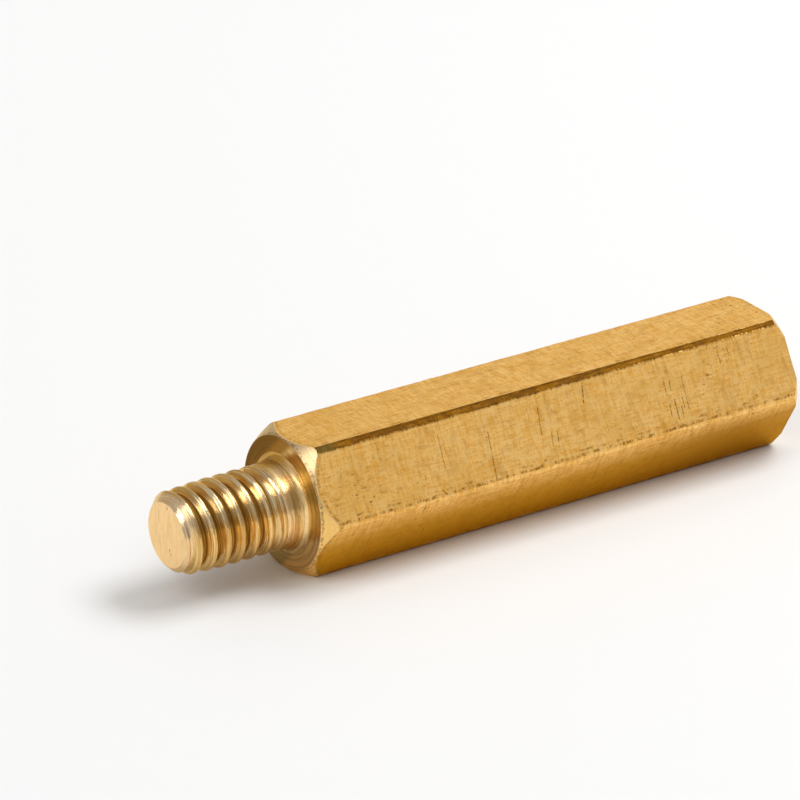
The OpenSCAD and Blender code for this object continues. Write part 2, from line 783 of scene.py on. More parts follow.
class NodeSketch:
    """Short hand for laying out one node tree. A value is a number, vector, colour or socket."""

    def __init__(self, tree: bpy.types.NodeTree) -> None:
        """Starts on an empty tree."""
        self.tree = tree
        tree.nodes.clear()

    def node(self, kind: str, **settings: object) -> bpy.types.Node:
        """Adds one node.

        Args:
            kind: The node's type, without ShaderNode.
            **settings: Properties to set, or input sockets by name with spaces as underscores.

        Returns:
            The new node.
        """
        made = self.tree.nodes.new(kind if kind.startswith("Node") else "ShaderNode" + kind)
        made.location = (NODE_STEP * len(self.tree.nodes), 0)
        for name, value in settings.items():
            if hasattr(made, name):
                setattr(made, name, value)
            else:
                self.feed(made.inputs[name.replace("_", " ")], value)
        return made

    def feed(self, socket: Socket, value: object) -> None:
        """Links a socket to another one, or sets it to a number, vector or opaque colour.

        Args:
            socket: The socket.
            value: What it gets.
        """
        if isinstance(value, Socket):
            self.tree.links.new(value, socket)
        else:
            socket.default_value = (*value, 1.0) if socket.type == "RGBA" else value

    def computed(self, kind: str, operation: str, *values: object) -> bpy.types.Node:
        """Adds a Math or VectorMath node.

        Args:
            kind: Which of the two.
            operation: Its operation.
            *values: Its inputs, in order.

        Returns:
            The node.
        """
        made = self.node(kind, operation=operation)
        for socket, value in zip(made.inputs, values):
            self.feed(socket, value)
        return made

    def math(self, operation: str, *values: object) -> Socket:
        """Works out one number."""
        return self.computed("Math", operation, *values).outputs[0]

    def vector(self, operation: str, *values: object) -> Socket:
        """Works out one vector."""
        return self.computed("VectorMath", operation, *values).outputs[0]

    def measured(self, operation: str, *values: object) -> Socket:
        """Works out one number from vectors."""
        return self.computed("VectorMath", operation, *values).outputs["Value"]

    def scaled(self, vector: object, by: object) -> Socket:
        """Scales a vector.

        Args:
            vector: The vector.
            by: The number that multiplies it.

        Returns:
            The scaled vector.
        """
        made = self.node("VectorMath", operation="SCALE", Scale=by)
        self.feed(made.inputs[0], vector)
        return made.outputs[0]

    def times(self, first: object, *others: object) -> Socket:
        """Multiplies two or more numbers.

        Args:
            first: The first of them.
            *others: The others.

        Returns:
            Their product.
        """
        for other in others:
            first = self.math("MULTIPLY", first, other)
        return first

    def plus(self, first: object, second: object) -> Socket:
        """Adds two numbers."""
        return self.math("ADD", first, second)

    def minus(self, first: object, second: object) -> Socket:
        """Takes the second number from the first."""
        return self.math("SUBTRACT", first, second)

    def linear(self, value: object, slope: object, start: object) -> Socket:
        """Multiplies a number by a slope and adds a start."""
        return self.math("MULTIPLY_ADD", value, slope, start)

    def blend(self, share: object, first: object, second: object) -> Socket:
        """Mixes two colours.

        Args:
            share: How much of the second.
            first: The first colour.
            second: The second colour.

        Returns:
            The mixed colour.
        """
        made = self.node("Mix", data_type="RGBA")
        for number, value in ((0, share), (6, first), (7, second)):
            self.feed(made.inputs[number], value)
        return made.outputs[2]

    def layers(self, tone: object, *coats: Coat) -> Socket:
        """Lays coats over a tone, one after another.

        Args:
            tone: The tone under them.
            *coats: Mask, strength and colour of each.

        Returns:
            The tone with its coats.
        """
        for mask, strength, colour in coats:
            tone = self.blend(self.times(mask, strength), tone, colour)
        return tone

    def shades(self, value: object, tone: object, *steps: tuple[Span, object]) -> Socket:
        """Changes a tone step by step as a number grows or falls.

        Args:
            value: The number.
            tone: The tone before the first step.
            *steps: The span over which the next tone comes in, and that tone.

        Returns:
            The graded tone.
        """
        for span, colour in steps:
            tone = self.blend(self.ramp(value, *span), tone, colour)
        return tone

    def ramp(self, value: object, low: object, high: object) -> Socket:
        """Eases a number from 0 at low to 1 at high.

        Args:
            value: The number.
            low: Where it gives 0, which may be the greater of the two.
            high: Where it gives 1.

        Returns:
            The eased number.
        """
        made = self.node("MapRange", interpolation_type="SMOOTHSTEP")
        for socket, number in zip(made.inputs[:3], (value, low, high)):
            self.feed(socket, number)
        return made.outputs["Result"]

    def band(self, value: object, low: float, high: float, soft: float) -> Socket:
        """Gives 1 where a number lies from low to high, easing to 0 over a soft border."""
        return self.times(self.ramp(value, low - soft, low), self.ramp(value, high + soft, high))

    def place_mm(self) -> Socket:
        """Gives the shaded point's place on the piece, in millimetres."""
        return self.scaled(self.node("TexCoord").outputs["Object"], 1 / METRES_PER_MM)

    def axes_mm(self) -> list[Socket]:
        """Gives the shaded point's X, Y and Z in millimetres."""
        return list(self.node("SeparateXYZ", Vector=self.place_mm()).outputs)

    def radius_mm(self) -> Socket:
        """Gives the shaded point's distance from the X axis, in millimetres."""
        _, y, z = self.axes_mm()
        return self.math("SQRT", self.plus(self.math("POWER", y, 2.0), self.math("POWER", z, 2.0)))

    def turn(self) -> Socket:
        """Gives the shaded point's turn about the X axis, from +Y through +Z: -0.5 to 0.5."""
        _, y, z = self.axes_mm()
        return self.math("DIVIDE", self.math("ARCTAN2", z, y), FULL_TURN)

    def noise(self, x: object, y: object, z: object) -> Socket:
        """Gives soft noise at three coordinates, around 0.5."""
        at = self.node("CombineXYZ", X=x, Y=y, Z=z).outputs[0]
        return self.node("TexNoise", Vector=at, Scale=1.0, Detail=2.0, Roughness=0.6).outputs["Fac"]


class Effect:
    """A shader node group that several finishes share, with number inputs and one mask."""

    def __init__(self, name: str, **inputs: float) -> None:
        """Makes the group and its sockets.

        Args:
            name: The group's name.
            **inputs: Its inputs and their values, by name with spaces as underscores.
        """
        self.tree = bpy.data.node_groups.new(name, "ShaderNodeTree")
        self.sketch = NodeSketch(self.tree)
        sockets = self.tree.interface
        for label, value in inputs.items():
            label = label.replace("_", " ")
            made = sockets.new_socket(label, in_out="INPUT", socket_type="NodeSocketFloat")
            made.default_value = value
        sockets.new_socket("Mask", in_out="OUTPUT", socket_type="NodeSocketFloat")
        self.given = self.sketch.node("NodeGroupInput").outputs
        self.result = self.sketch.node("NodeGroupOutput").inputs["Mask"]

    def scaled(self, value: object, by: str) -> Socket:
        """Multiplies a number by one input."""
        return self.sketch.times(value, self.given[by])

    def seeded(self, value: object, by: str) -> Socket:
        """Multiplies a number by one input, and adds the seed."""
        return self.sketch.plus(self.scaled(value, by), self.given["Seed"])

    def eased(self, level: object) -> Socket:
        """Eases a level in from Low to High."""
        return self.sketch.ramp(level, self.given["Low"], self.given["High"])

    def give(self, mask: object) -> "Effect":
        """Sends out the mask.

        Args:
            mask: The mask.

        Returns:
            The finished effect.
        """
        self.sketch.feed(self.result, mask)
        return self


class Effects:
    """The surface effects of machined brass, each built once."""

    def __init__(self) -> None:
        """Builds every group."""
        self.hairlines = self._hairlines()
        self.rings = self._rings()
        self.streaks = self._streaks()
        self.specks = self._specks()
        self.edge_tarnish = self._edge_tarnish()
        self.edge_nicks = self._edge_nicks()
        self.scratch = self._scratch()

    @staticmethod
    def _hairlines() -> Effect:
        """Builds straight marks: Along and Across are their fineness, in lines per millimetre.

        Returns:
            The group.
        """
        effect = Effect("hairlines", Along=10.0, Across=0.4, Seed=0.0, Low=0.35, High=0.65)
        x, y, z = effect.sketch.axes_mm()
        lines = (effect.seeded(x, "Along"), effect.scaled(y, "Across"), effect.scaled(z, "Across"))
        return effect.give(effect.eased(effect.sketch.noise(*lines)))

    @staticmethod
    def _rings() -> Effect:
        """Builds turning marks round the X axis: Fineness is in lines per millimetre.

        Returns:
            The group.
        """
        effect = Effect("rings", Fineness=12.0, Seed=0.0, Low=0.35, High=0.65)
        s = effect.sketch
        # There and back once round, so that no seam shows
        reach = 2.0
        around = s.math("PINGPONG", s.times(s.turn(), 2 * reach), reach)
        out = effect.seeded(s.radius_mm(), "Fineness")
        return effect.give(effect.eased(s.noise(out, effect.scaled(s.axes_mm()[0], "Fineness"), around)))

    @staticmethod
    def _streaks() -> Effect:
        """Builds streaks that follow the thread: Fineness is in streaks per pitch.

        Returns:
            The group.
        """
        effect = Effect("streaks", Pitch=0.7, Crest=0.0, Fineness=12.0, Low=0.35, High=0.65)
        s = effect.sketch
        x = s.axes_mm()[0]
        pitches = s.math("DIVIDE", s.minus(x, effect.given["Crest"]), effect.given["Pitch"])
        # Whole where a groove's middle passes, so that the jump from turn to turn lies there
        crest_turn, breaks_per_turn = 0.25, 3.0
        wound = s.plus(s.minus(pitches, s.turn()), 0.5 + crest_turn)
        along = s.plus(s.math("FLOOR", wound), s.turn())
        across = effect.scaled(s.math("FRACT", wound), "Fineness")
        return effect.give(effect.eased(s.noise(across, s.times(along, breaks_per_turn), 0.0)))

    @staticmethod
    def _specks() -> Effect:
        """Builds small dark specks in loose patches: Length and Patch are in millimetres.

        Returns:
            The group.
        """
        effect = Effect("specks", Length=0.14, Patch=2.0, Cover=0.5, Soft=0.07)
        s = effect.sketch
        place = s.place_mm()
        stretched = s.node("Mapping", vector_type="TEXTURE", Vector=place, Scale=(1.0, 0.5, 0.5))
        noises = []
        for at, size in ((stretched.outputs[0], "Length"), (place, "Patch")):
            fineness = s.math("DIVIDE", 1.0, effect.given[size])
            noises.append(s.node("TexNoise", Vector=at, Scale=fineness, Detail=1.0).outputs["Fac"])
        fine, broad = noises
        # A speck is where the fine noise passes a level, which drops inside a patch
        speck_level, patch_drop = 0.76, 0.14
        patch_levels = (0.42, 0.62)
        patch = effect.scaled(s.ramp(broad, *patch_levels), "Cover")
        level = s.linear(patch, -patch_drop, speck_level)
        return effect.give(s.ramp(fine, level, s.plus(level, effect.given["Soft"])))

    @staticmethod
    def _sextant(s: NodeSketch) -> tuple[Socket, Socket]:
        """Finds the long edge next to the shaded point.

        Args:
            s: The sketch of the group that asks.

        Returns:
            The distance across that edge in millimetres, and the edge's number from 0 to 5, which
            starts at the edge at -Y and turns through -Z.
        """
        sixths = s.linear(s.turn(), 6.0, 3.5)
        angle = s.times(s.minus(s.math("FRACT", sixths), 0.5), FULL_TURN / 6)
        across = s.times(s.radius_mm(), s.math("SINE", angle))
        return across, s.math("MODULO", s.math("FLOOR", sixths), 6.0)

    @staticmethod
    def _edge_tarnish() -> Effect:
        """Builds the tarnish on the upper edge at -Y and, weaker, on the edge at +Y.

        It has one clean border and one ragged one. Width is half its width, and Ragged is how far
        its borders stray, in millimetres.

        Returns:
            The group.
        """
        effect = Effect("edge_tarnish", Width=0.175, Ragged=0.12)
        s = effect.sketch
        x, y, z = s.axes_mm()
        across, edge = Effects._sextant(s)
        below = s.times(across, -1.0)
        # Lines per mm of the slow waver, the strokes and the teeth, and the waver's mean
        slow_lines, stroke_lines, mean = 0.5, 7.0, 0.45
        teeth_along, teeth_across = 14.0, 8.0
        slow = s.minus(s.noise(s.times(x, slow_lines), s.times(edge, EDGE_GAP), 0.0), mean)
        strokes = s.noise(s.times(x, stroke_lines), y, z)
        teeth = s.noise(s.times(x, teeth_along), s.times(y, teeth_across), s.times(z, teeth_across))
        # A quarter of the width is lost between these places along the bar
        narrowing, lost = (24.0, 12.0), 0.25
        width = effect.scaled(s.linear(s.ramp(x, *narrowing), lost, 1.0 - lost), "Width")
        stray = s.plus(slow, s.minus(s.plus(strokes, teeth), 1.0))
        ragged = s.linear(stray, effect.given["Ragged"], width)
        clean_share = 0.4
        clean = s.linear(slow, s.times(effect.given["Ragged"], clean_share), width)
        borders = []
        for side, border, outside, inside in ((across, ragged, 0.07, 0.05), (below, clean, 0.03, 0.02)):
            borders.append(s.ramp(side, s.plus(border, outside), s.minus(border, inside)))
        upper_edge, far_edge, far_share = 5.0, 3.0, 0.7
        strong, weak = (s.math("COMPARE", edge, number, 0.5) for number in (upper_edge, far_edge))
        return effect.give(s.times(*borders, s.plus(strong, s.times(weak, far_share))))

    @staticmethod
    def _edge_nicks() -> Effect:
        """Builds short marks strung along the long edges, Off millimetres to one side of them.

        Returns:
            The group.
        """
        effect = Effect("edge_nicks", Off=0.1, Width=0.05, Fineness=5.0, Seed=0.0, Low=0.5, High=0.58)
        s = effect.sketch
        x, y, z = s.axes_mm()
        across, edge = Effects._sextant(s)
        # How far the string strays in mm, its waves per mm, and the full share of its width
        stray, waves, core = 0.08, 3.0, 0.4
        wobble = s.linear(s.noise(s.times(x, waves), y, z), 2 * stray, -stray)
        away = s.math("ABSOLUTE", s.plus(s.minus(across, effect.given["Off"]), wobble))
        line = s.ramp(away, effect.given["Width"], s.times(effect.given["Width"], core))
        dashes = effect.eased(s.noise(effect.seeded(x, "Fineness"), s.times(edge, NICK_GAP), 0.0))
        return effect.give(s.times(line, dashes))

    @staticmethod
    def _scratch() -> Effect:
        """Builds one straight scratch, with its middle at X, Y, Z and its sizes in millimetres.

        Side is 1 or -1 for the flat above or below the edge at -Y, and 0 for a face square to X.
        Lean turns the scratch from the straight way up that face towards X.

        Returns:
            The group.
        """
        effect = Effect("scratch", X=0.0, Y=0.0, Z=0.0, Side=1.0, Lean=0.0, Half_Length=0.5, Width=0.03)
        s, given = effect.sketch, effect.given
        rise = math.radians(HEX_HALF)
        level = s.times(given["Side"], math.sin(rise))
        up = s.node("CombineXYZ", X=given["Lean"], Y=level, Z=math.cos(rise)).outputs[0]
        way = s.vector("NORMALIZE", up)
        centre = s.node("CombineXYZ", X=given["X"], Y=given["Y"], Z=given["Z"]).outputs[0]
        offset = s.vector("SUBTRACT", s.place_mm(), centre)
        half = given["Half Length"]
        reach = s.math("MAXIMUM", s.measured("DOT_PRODUCT", offset, way), s.times(half, -1.0))
        nearest = s.scaled(way, s.math("MINIMUM", reach, half))
        away = s.measured("LENGTH", s.vector("SUBTRACT", offset, nearest))
        core = 0.3
        return effect.give(s.ramp(away, given["Width"], s.times(given["Width"], core)))


class Coating(NodeSketch):
    """A brass material in the making, with the surface effects at hand."""

    def __init__(self, name: str, effects: Effects) -> None:
        """Starts the material.

        Args:
            name: Its name.
            effects: The shared node groups.
        """
        self.made = bpy.data.materials.new(name)
        self.made.use_nodes = True
        self.effects = effects
        super().__init__(self.made.node_tree)

    def mask(self, effect: Effect, values: Numbers = ()) -> Socket:
        """Places one effect.

        Args:
            effect: The effect.
            values: Its inputs in order, of which the last ones may be left as the group has them.

        Returns:
            Its mask.
        """
        placed = self.node("Group", node_tree=effect.tree)
        for socket, value in zip(placed.inputs, values):
            self.feed(socket, value)
        return placed.outputs["Mask"]

    def lines(self, marks: Numbers) -> Socket:
        """Places one set of hairlines, and gives its mask."""
        return self.mask(self.effects.hairlines, marks)

    def nicks(self, marks: Numbers) -> Socket:
        """Places one string of nicks, and gives its mask."""
        return self.mask(self.effects.edge_nicks, marks)

    def finish(
        self, tone: object, rough: object, relief: object, depth: float, metal: object = 1.0
    ) -> bpy.types.Material:
        """Ends the material with its shader, whose glancing reflections stay warm.

        Args:
            tone: Its base colour.
            rough: Its roughness.
            relief: Height of the fine marks, from 0 to 1.
            depth: What a height of 1 stands for, in metres.
            metal: How metallic it is.

        Returns:
            The material.
        """
        bump = self.node("Bump", Strength=1.0, Distance=depth, Height=relief).outputs[0]
        glance = {"Specular_Tint": GLANCING, "Specular_IOR_Level": GLANCING_LEVEL}
        body = {"Base_Color": tone, "Roughness": rough, "Metallic": metal}
        shader = self.node("BsdfPrincipled", Normal=bump, **glance, **body)
        self.node("OutputMaterial", Surface=shader.outputs[0])
        return self.made


@dataclass(frozen=True)
class DrawnFinish:
    """Satin flats: fine marks across and along the bar, specks, scratches, tarnished edges, painted
    glints along the edges, and painted shade on the flats that face down.
    """

    bar: TurnedBar
    pale: Colour = (1.0, 0.645, 0.225)
    deep: Colour = (0.81, 0.435, 0.086)
    olive: Colour = (0.76, 0.42, 0.080)
    line: Colour = (0.46, 0.18, 0.004)
    speck: Colour = (0.29, 0.108, 0.0005)
    scratch_tone: Colour = (0.20, 0.078, 0.003)
    # Painted shade on the flats that face down
    amber_shade: Colour = (0.64, 0.32, 0.014)
    umber_shade: Colour = (0.64, 0.30, 0.001)
    far_umber_shade: Colour = (0.40, 0.16, 0.001)
    tarnish: Colour = (0.110, 0.038, 0.0005)
    tarnish_light: Colour = (0.19, 0.075, 0.001)
    tarnish_grey: Colour = (0.090, 0.056, 0.010)
    # Painted glint tone
    painted_glint: Colour = (1.0, 0.82, 0.50)
    # Hairlines: lines per mm along and across the bar, seed, and the levels where they fade in
    grain: Numbers = (9.0, 9.0, 0.0, 0.40, 0.62)
    cross: Numbers = (10.0, 1.0, 17.0, 0.40, 0.62)
    lay: Numbers = (1.1, 11.0, 31.0, 0.40, 0.62)
    strokes: Numbers = (4.0, 0.7, 11.0, 0.56, 0.70)
    drags: Numbers = (0.8, 5.5, 23.0, 0.58, 0.72)
    mottle: Numbers = (2.6, 2.6, 47.0, 0.48, 0.64)
    clouds: Numbers = (0.6, 0.9, 5.0, 0.42, 0.64)
    tarnish_core: Numbers = (1.6, 5.0, 40.0, 0.42, 0.62)
    nick_breaks: Numbers = (12.0, 5.0, 120.0, 0.34, 0.58)
    lip_breaks: Numbers = (5.0, 9.0, 70.0, 0.40, 0.62)
    # Nicks: place across the edge and width in mm, nicks per mm, seed, and levels as above
    near_nicks: Numbers = (-0.13, 0.09, 1.7, 0.0, 0.42, 0.56)
    far_nicks: Numbers = (-0.30, 0.06, 1.3, 9.0, 0.48, 0.60)
    worn_spots: Numbers = (-0.21, 0.05, 1.0, 3.0, 0.45, 0.60)
    bright_spots: Numbers = (0.04, 0.07, 6.0, 50.0, 0.60, 0.66)
    # Length and patch size of the specks in mm, their cover and their softness
    specks: Numbers = (0.21, 2.2, 1.1, 0.14)
    # Shares of grain, cross marks and lay in the marks as a whole, and the levels that they shade
    shares: Numbers = (0.28, 0.38, 0.34)
    mark_levels: Span = (0.16, 0.92)
    # Axial places: duller towards the shoulder, more specks at both ends, greyer tarnish
    dull_span: Span = (9.0, 2.0)
    near_specks: Span = (7.0, 3.0)
    far_specks: Span = (18.0, 22.0)
    grey_span: Span = (2.0, 1.0)
    # Heights where the flats that face down are painted darker, amber then umber, as painted shade
    amber_shade_span: Span = (-0.1, -1.5)
    umber_shade_span: Span = (-1.2, -2.7)
    # Where their far end is painted darker still, as more painted shade, along the bar and in height
    far_shade_span: Span = (14.0, 24.0)
    far_shade_height: Span = (0.1, -1.0)
    # Strength of the specks half way along, and of a scratch where the grain breaks it
    middle_specks: float = 0.4
    scratch_least: float = 0.4
    # Chamfer's painted highlight lip in mm: where it ends, where it is full, and how far that stays
    # behind;
    # then the dark line beyond it: nearest, farthest and softness
    glint_lip: Numbers = (0.16, 0.12, 0.02)
    lip_line: Numbers = (0.10, 0.20, 0.06)
    roughness: float = 0.52
    # How much rougher the deepest marks and the tarnish are
    mark_roughness: float = 0.12
    tarnish_roughness: float = 0.12
    mark_depth: float = 0.000003
    # Axial place, place across the flat, half length, lean, width and side of each scratch, in mm:
    # side 1 is the flat above the edge at -Y, side -1 the flat below it
    scratches: tuple[Numbers, ...] = (
        (8.84, -0.55, 1.05, 0.10, 0.035, 1),
        (6.45, 0.20, 0.75, 0.05, 0.025, 1),
        (11.60, 0.30, 0.60, 0.14, 0.030, 1),
        (11.98, -0.55, 0.32, 0.16, 0.040, 1),
        (12.30, -0.50, 0.25, 0.14, 0.030, 1),
        (14.10, 0.95, 0.45, 0.22, 0.045, 1),
        (18.52, 0.27, 0.22, 0.10, 0.050, 1),
        (18.24, 0.20, 0.30, 0.05, 0.035, 1),
        (18.53, -0.80, 0.42, 0.05, 0.055, 1),
        (18.22, -0.77, 0.28, 0.10, 0.035, 1),
        (18.80, -0.95, 0.25, 0.05, 0.040, 1),
        (19.18, -0.20, 0.70, 0.06, 0.028, 1),
        (18.95, -0.62, 0.25, 0.00, 0.035, 1),
        (21.38, 0.95, 0.32, 0.00, 0.032, 1),
        (21.90, 1.02, 0.20, 0.00, 0.032, 1),
        (6.10, -1.52, 0.16, -0.80, 0.040, 1),
        (4.95, 1.52, 0.12, 3.00, 0.035, -1),
        (5.06, 1.34, 0.18, 0.25, 0.035, -1),
    )

    def material(self, effects: Effects) -> bpy.types.Material:
        """Lays out the finish.

        Args:
            effects: The shared node groups.

        Returns:
            The material.
        """
        s = Coating("brass_drawn", effects)
        x, _, z = s.axes_mm()
        grain, strokes = s.lines(self.grain), s.lines(self.strokes)
        grain_share, cross_share, lay_share = self.shares
        marks = s.linear(s.lines(self.cross), cross_share, s.times(grain, grain_share))
        marks = s.linear(s.lines(self.lay), lay_share, marks)
        specks = s.mask(effects.specks, self.specks)
        ends = s.math("MAXIMUM", s.ramp(x, *self.near_specks), s.ramp(x, *self.far_specks))
        middle = self.middle_specks
        broken = s.linear(grain, 1.0 - self.scratch_least, self.scratch_least)
        scratches = [(s.times(one, broken), 0.9, self.scratch_tone) for one in self._scratches(s)]
        tarnish = s.mask(effects.edge_tarnish)
        band = s.blend(s.lines(self.tarnish_core), self.tarnish, self.tarnish_light)
        tone = s.layers(
            s.blend(s.ramp(marks, *self.mark_levels), self.pale, self.deep),
            (s.ramp(x, *self.dull_span), 0.14, self.olive),
            (s.lines(self.clouds), 0.32, self.olive),
            # Painted shade: the flats that face down darken towards the floor, and most at their far end
            (s.ramp(z, *self.amber_shade_span), 0.92, self.amber_shade),
            (s.ramp(z, *self.umber_shade_span), 0.85, self.umber_shade),
            (s.times(s.ramp(x, *self.far_shade_span), s.ramp(z, *self.far_shade_height)), 0.55, self.far_umber_shade),
            (s.lines(self.mottle), 0.18, self.line),
            (strokes, 0.24, self.line),
            (s.lines(self.drags), 0.22, self.line),
            (s.times(specks, s.linear(ends, 1.0 - middle, middle)), 0.75, self.speck),
            *scratches,
            *self._nicks(s),
            *self._glint_lip(s),
            (tarnish, 0.96, s.shades(x, band, (self.grey_span, self.tarnish_grey))),
        )
        rough = s.linear(s.minus(marks, 0.5), self.mark_roughness, self.roughness)
        rough = s.linear(tarnish, self.tarnish_roughness, rough)
        return s.finish(tone, rough, s.minus(marks, s.plus(strokes, specks)), self.mark_depth)

    def _nicks(self, s: Coating) -> list[Coat]:
        """Lays nicks, worn spots and painted glints along the long edges.

        Args:
            s: The material's sketch.

        Returns:
            Their coats.
        """
        broken = s.lines(self.nick_breaks)
        return [
            (s.times(s.nicks(self.near_nicks), broken), 0.85, self.speck),
            (s.times(s.nicks(self.far_nicks), broken), 0.65, self.speck),
            (s.nicks(self.worn_spots), 0.30, self.pale),
            # Painted glints: short bright spots strung along the edges
            (s.nicks(self.bright_spots), 0.6, self.painted_glint),
        ]

    def _glint_lip(self, s: Coating) -> list[Coat]:
        """Lays a painted highlight, a bright broken lip along the shoulder's chamfer, and a dark line
        behind it.

        Args:
            s: The material's sketch.

        Returns:
            Their coats.
        """
        torn = s.lines(self.lip_breaks)
        over = s.minus(s.radius_mm(), self.bar.shoulder_radius)
        gap = s.minus(s.axes_mm()[0], s.math("DIVIDE", over, tangent(self.bar.shoulder_slope)))
        end, full, behind = self.glint_lip
        # Painted highlight along the chamfer's edge
        glint_lip = s.ramp(gap, s.times(torn, end), s.linear(torn, full, -behind))
        line = s.times(s.band(gap, *self.lip_line), torn)
        return [(glint_lip, 0.35, self.painted_glint), (line, 0.55, self.speck)]

    def _scratches(self, s: Coating) -> list[Socket]:
        """Places the scratches on the two flats beside the edge at -Y.

        Args:
            s: The material's sketch.

        Returns:
            One mask for each scratch.
        """
        masks = []
        half_width = self.bar.across_flats / 2
        sine, cosine = math.sin(math.radians(HEX_HALF)), math.cos(math.radians(HEX_HALF))
        for x, across, half, lean, width, side in self.scratches:
            y = across * side * sine - half_width * cosine
            z = across * cosine + half_width * side * sine
            masks.append(s.mask(s.effects.scratch, (x, y, z, side, lean, half, width)))
        return masks


@dataclass(frozen=True)
class FacedFinish:
    """Faces and chamfers cut on the lathe: a pale tip, a browner shoulder with painted light and shade,
    and bright chamfers painted paler at the top.
    """

    tip_place: float
    clean: Colour = (1.00, 0.700, 0.36)
    line: Colour = (0.66, 0.40, 0.13)
    # Paler tone of the chamfer's upper facets, a painted highlight
    pale: Colour = (0.68, 0.50, 0.29)
    yellow: Colour = (1.00, 0.64, 0.20)
    shoulder: Colour = (0.58, 0.43, 0.170)
    # Painted floor light at the shoulder's foot, painted light, then painted shade, brown and dark,
    # going up
    shoulder_painted_foot_light: Colour = (0.98, 0.62, 0.240)
    shoulder_painted_light: Colour = (0.74, 0.47, 0.170)
    shoulder_painted_shade: Colour = (0.31, 0.130, 0.015)
    shoulder_painted_dark_shade: Colour = (0.13, 0.048, 0.001)
    shoulder_line: Colour = (0.22, 0.10, 0.012)
    dark: Colour = (0.26, 0.15, 0.05)
    # Hairlines: lines per mm along and across X, seed, and the levels where they fade in
    saw: Numbers = (3.0, 2.2, 0.0, 0.45, 0.7)
    fine: Numbers = (9.0, 9.0, 60.0, 0.36, 0.64)
    rim_breaks: Numbers = (2.0, 7.0, 80.0, 0.48, 0.56)
    # Rings per mm, and length, patch size and cover of the specks
    rings: Numbers = (9.0,)
    specks: Numbers = (0.12, 1.2, 0.9)
    roughness: float = 0.27
    shoulder_roughness: float = 0.16
    mark_depth: float = 0.000003
    # How much rougher the marks and the tip are, and how strong the saw's marks are there
    mark_roughness: float = 0.08
    tip_roughness: float = 0.15
    saw_strength: float = 0.4
    # Saw lines per mm across and along them on the tip, and the levels where they fade in
    saw_lines: Point = (6.0, 0.8)
    saw_levels: Span = (0.46, 0.64)
    # How deep the tip's finish reaches, and the length over which it fades out
    tip_depth: float = 0.1
    tip_fade: float = 0.02
    # Axial places where the shoulder's finish starts and ends, and its softness
    shoulder_band: Numbers = (-0.02, 0.045, 0.01)
    # Radii where the shoulder's finish ends, the chamfer's starts and its torn rim ends
    shoulder_edge: Span = (3.0, 2.93)
    chamfer_edge: Span = (2.94, 3.0)
    rim_edge: Span = (3.06, 3.03)
    # Y + Z where the shoulder takes painted light, then painted shade, brown and dark going up, and
    # painted floor light at its foot
    shoulder_heights: tuple[Span, ...] = ((0.3, 0.9), (1.9, 2.5), (2.8, 3.4), (-2.7, -3.1))
    # Axial places where the shoulder's chamfer ends, and heights where it is painted paler as a painted
    # highlight
    chamfer_end: Span = (1.2, 1.0)
    chamfer_heights: Span = (0.6, 1.6)
    # Y, Z, half length, width and strength of each mark on the tip's face, in mm
    tip_marks: tuple[Numbers, ...] = (
        (-0.22, -0.62, 0.04, 0.060, 0.55),
        (-0.31, -0.78, 0.05, 0.045, 0.45),
        (-0.05, 1.27, 0.04, 0.060, 0.60),
        (0.80, 0.00, 0.30, 0.040, 0.20),
        (-0.10, 0.32, 0.32, 0.040, 0.22),
        (0.62, 0.70, 0.26, 0.040, 0.25),
    )

    def material(self, effects: Effects) -> bpy.types.Material:
        """Lays out the finish.

        Args:
            effects: The shared node groups.

        Returns:
            The material.
        """
        s = Coating("brass_faced", effects)
        x, y, z = s.axes_mm()
        radius = s.radius_mm()
        tip_end = self.tip_place + self.tip_depth
        on_tip = s.ramp(x, tip_end + self.tip_fade, tip_end)
        on_shoulder = s.times(s.band(x, *self.shoulder_band), s.ramp(radius, *self.shoulder_edge))
        on_chamfer = s.times(s.ramp(radius, *self.chamfer_edge), s.ramp(x, *self.chamfer_end))
        on_rim = s.times(on_chamfer, s.ramp(radius, *self.rim_edge))
        rings = s.mask(effects.rings, self.rings)
        specks = s.mask(effects.specks, self.specks)
        sawn = s.times(s.lines(self.saw), s.times(on_tip, self.saw_strength))
        marks = s.linear(rings, s.minus(1.0, on_tip), sawn)
        # Painted highlight: the chamfer's tone pales higher up, where its facets catch the light from
        # above
        chamfer = s.shades(z, self.yellow, (self.chamfer_heights, self.pale))
        tone = s.layers(
            s.blend(on_chamfer, self._plain_tone(s, on_tip), chamfer),
            (marks, 0.25, self.line),
            (s.times(s.lines(self.fine), on_chamfer), 0.30, self.line),
            (specks, 0.35, self.shoulder),
            (on_shoulder, 1.0, self._shoulder_tone(s, rings, s.plus(y, z))),
            (s.times(s.lines(self.rim_breaks), on_rim), 0.6, self.dark),
        )
        rough = s.linear(marks, self.mark_roughness, self.roughness)
        rough = s.linear(on_tip, self.tip_roughness, rough)
        rough = s.linear(on_shoulder, self.shoulder_roughness - self.roughness, rough)
        return s.finish(tone, rough, s.minus(marks, specks), self.mark_depth)

    def _plain_tone(self, s: Coating, on_tip: Socket) -> Socket:
        """Works out the tone of the plain faces, with the saw's lines and marks on the tip.

        Args:
            s: The material's sketch.
            on_tip: Mask of the tip's face.

        Returns:
            The tone.
        """
        _, y, z = s.axes_mm()
        across, along = self.saw_lines
        sawn = s.ramp(s.noise(s.times(y, across), s.times(z, along), 0.0), *self.saw_levels)
        tone = s.layers(self.clean, (s.times(sawn, on_tip), 0.22, self.line))
        for mark_y, mark_z, half, width, strength in self.tip_marks:
            place = (self.tip_place, mark_y, mark_z)
            mark = s.mask(s.effects.scratch, (*place, 0.0, 0.0, half, width))
            tone = s.layers(tone, (mark, strength, self.shoulder_line))
        return tone

